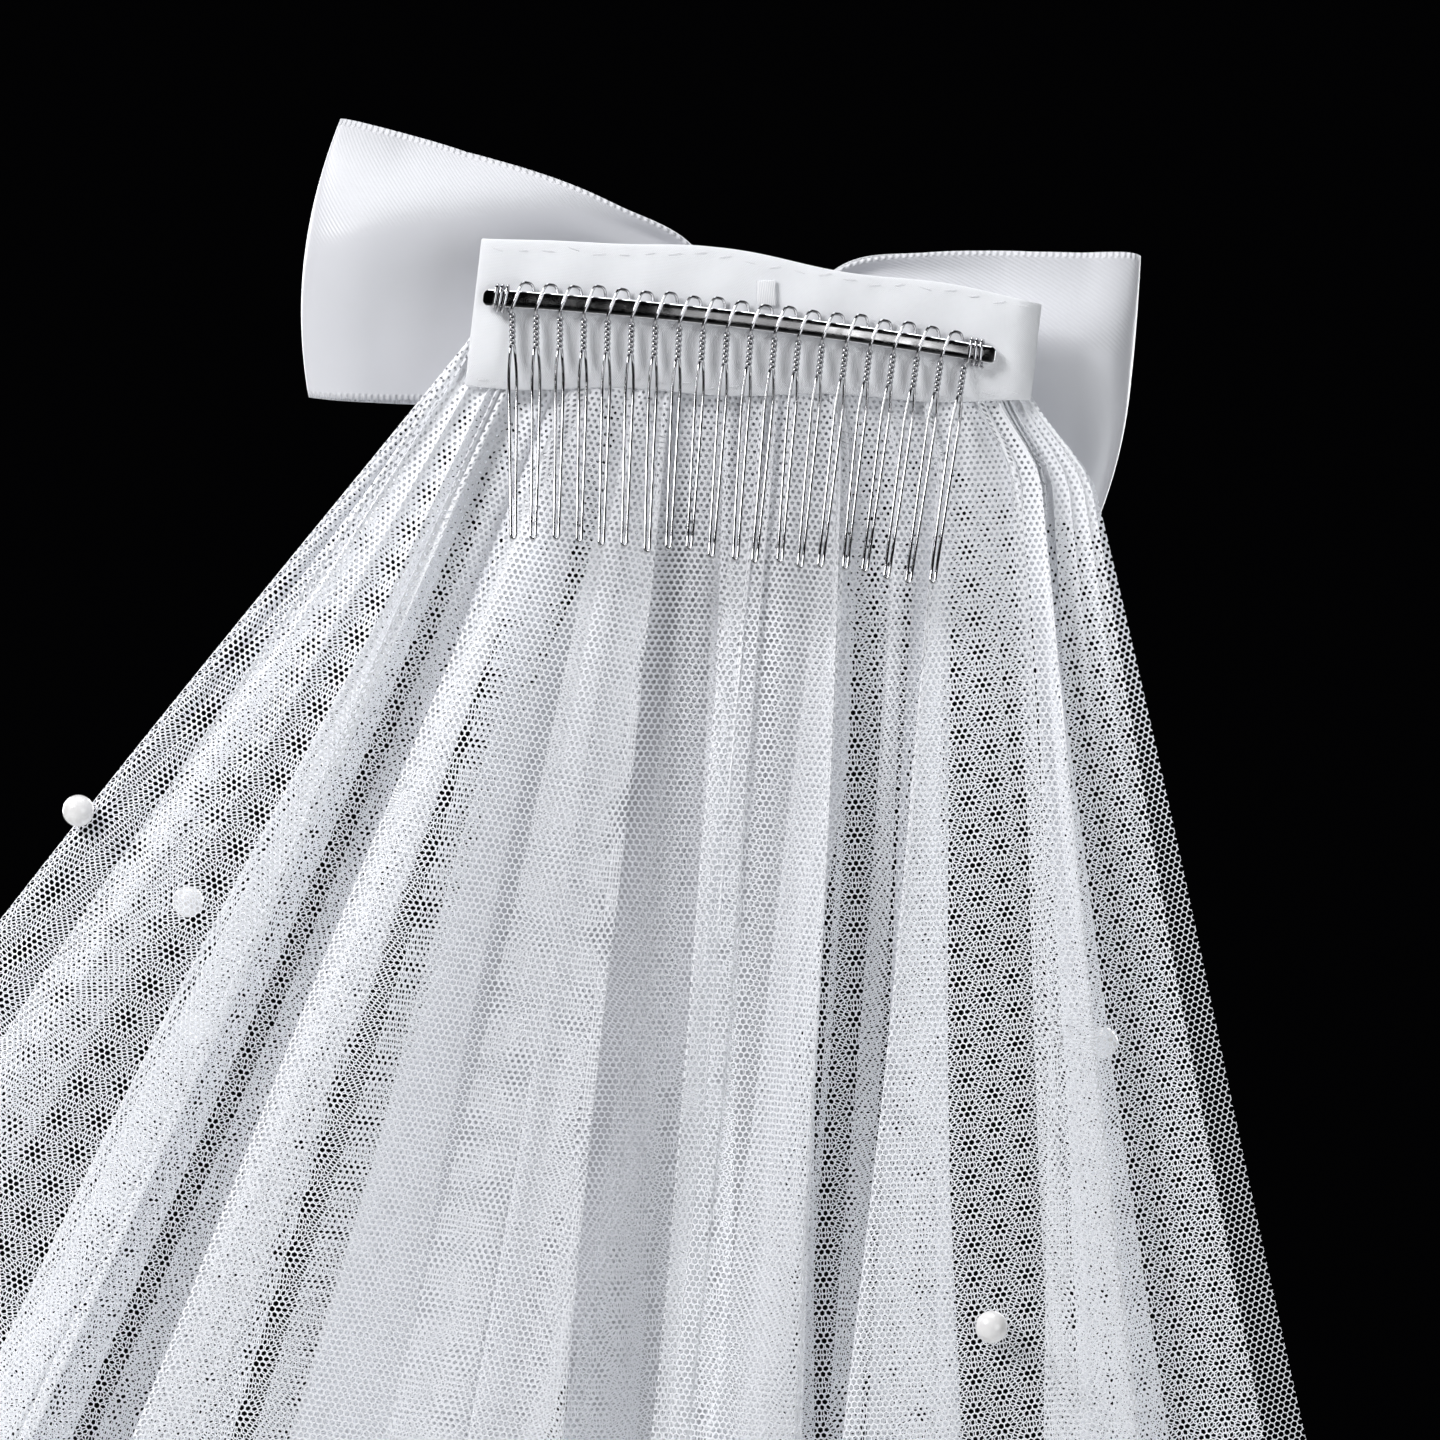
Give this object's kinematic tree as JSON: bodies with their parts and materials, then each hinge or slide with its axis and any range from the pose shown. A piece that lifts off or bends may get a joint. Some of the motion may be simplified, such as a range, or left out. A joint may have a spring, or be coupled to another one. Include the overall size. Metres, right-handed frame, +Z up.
{
  "type": "tulle bridal veil with a satin bow, on a wire hair comb",
  "caption": "Short two-tier tulle veil gathered under a strip, with a satin ribbon bow and tails, scattered pearls and a twisted-wire hair comb.",
  "frame": {"origin": "middle of the comb's bar", "axes": "+X along the comb's bar, -Y towards the hair, +Y outwards to the bow, +Z up, so the cloth hangs towards -Z"},
  "size_m": [0.4451, 0.1142, 0.5635],
  "materials": {
    "comb_metal": "polished",
    "satin": "satin",
    "strip_satin": "satin",
    "net": "matte",
    "nacre": "gloss"
  },
  "bodies": {
    "root": {"comb_bar": "comb_metal", "comb_wire": "comb_metal", "binding_strip": "strip_satin", "tulle_inner_tier": "net", "tulle_outer_tier": "net", "bow_loop_left": "satin", "bow_loop_right": "satin", "bow_knot": "satin", "bow_tail_left": "satin", "bow_tail_middle": "satin", "pearl_01": "nacre", "pearl_02": "nacre", "pearl_03": "nacre", "pearl_04": "nacre", "pearl_05": "nacre", "pearl_06": "nacre", "pearl_07": "nacre", "pearl_08": "nacre", "pearl_09": "nacre", "pearl_10": "nacre", "pearl_11": "nacre", "pearl_12": "nacre", "pearl_13": "nacre", "pearl_14": "nacre", "pearl_15": "nacre", "pearl_16": "nacre", "pearl_17": "nacre", "pearl_18": "nacre"}
  },
  "joints": []
}
